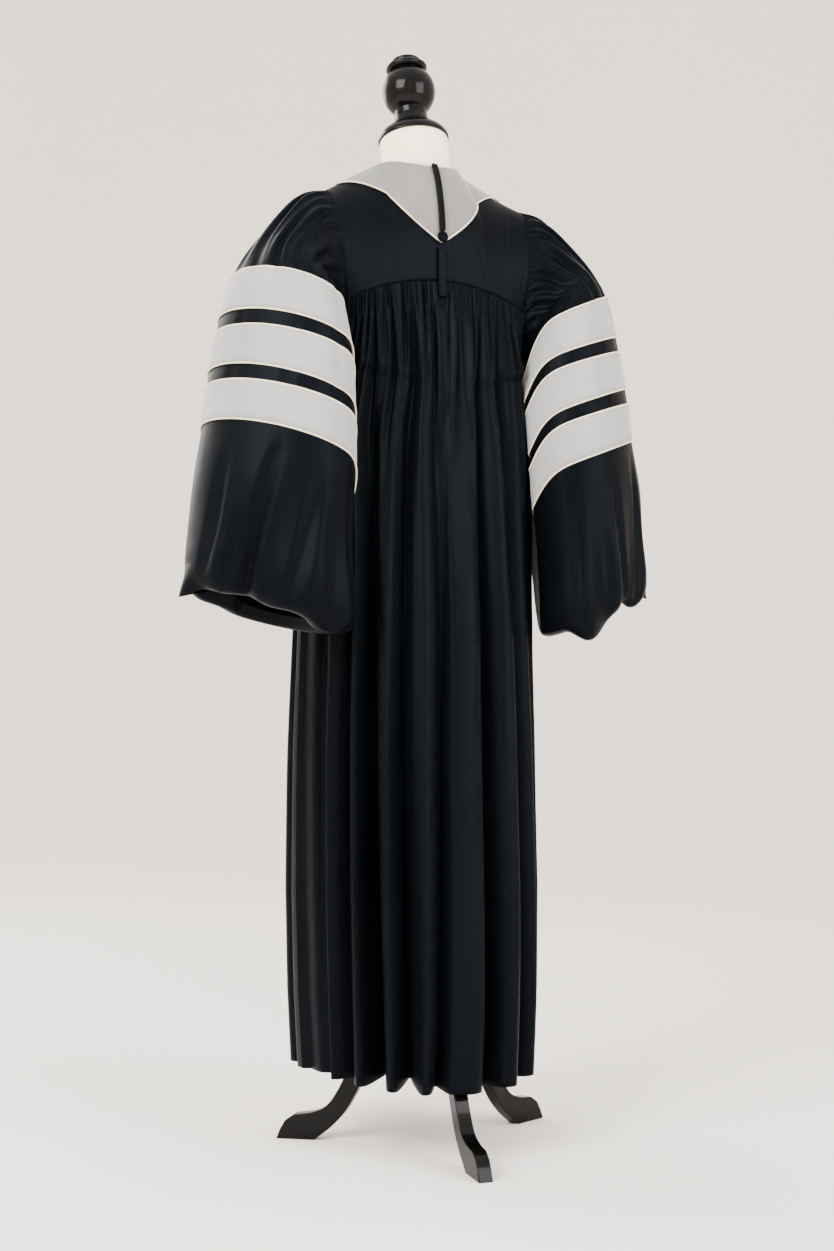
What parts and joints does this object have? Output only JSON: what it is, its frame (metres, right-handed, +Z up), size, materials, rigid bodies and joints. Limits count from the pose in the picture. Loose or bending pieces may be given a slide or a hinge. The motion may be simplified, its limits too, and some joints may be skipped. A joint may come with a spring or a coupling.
{
  "type": "graduation gown on a dress form",
  "caption": "Long pleated doctoral gown with bell sleeves, velvet bars and a velvet neck facing, standing on a limbless dress form with a tripod foot.",
  "frame": {"origin": "middle of the footprint of the whole part, on the floor", "axes": "+Z up; the gown's front faces -Y; +X is the wearer's left"},
  "size_m": [0.7884, 0.5212, 1.7269],
  "materials": {
    "gown_cloth": "black satin-faced polyester with a soft bluish sheen",
    "velvet_facing": "grey velvet, matt with a short nap",
    "velvet_bar": "light grey velvet, matt with a short nap",
    "piping": "cream corded piping",
    "black_cord": "black braid and cloth-covered button",
    "form_cloth": "cream jersey over a padded form",
    "black_lacquer": "turned wood in gloss black lacquer"
  },
  "bodies": {
    "root": {"back_panel": "gown_cloth", "back_yoke": "gown_cloth", "bar_left_1": "velvet_bar", "bar_left_2": "velvet_bar", "bar_left_3": "velvet_bar", "bar_right_1": "velvet_bar", "bar_right_2": "velvet_bar", "bar_right_3": "velvet_bar", "facing_back_left": "velvet_facing", "facing_back_right": "velvet_facing", "facing_front_left": "velvet_facing", "facing_front_right": "velvet_facing", "finial": "black_lacquer", "form_torso": "form_cloth", "front_left": "gown_cloth", "front_right": "gown_cloth", "hood_button": "black_cord", "hood_cord": "black_cord", "hood_tab": "black_cord", "leg_back": "black_lacquer", "leg_left": "black_lacquer", "leg_right": "black_lacquer", "neck_cap": "black_lacquer", "piping_back_left": "piping", "piping_back_right": "piping", "piping_front_left": "piping", "piping_front_right": "piping", "piping_left_1_bottom": "piping", "piping_left_1_top": "piping", "piping_left_2_bottom": "piping", "piping_left_2_top": "piping", "piping_left_3_bottom": "piping", "piping_left_3_top": "piping", "piping_right_1_bottom": "piping", "piping_right_1_top": "piping", "piping_right_2_bottom": "piping", "piping_right_2_top": "piping", "piping_right_3_bottom": "piping", "piping_right_3_top": "piping", "sleeve_left": "gown_cloth", "sleeve_right": "gown_cloth", "stand_hub": "black_lacquer", "stand_pole": "black_lacquer"}
  },
  "joints": []
}
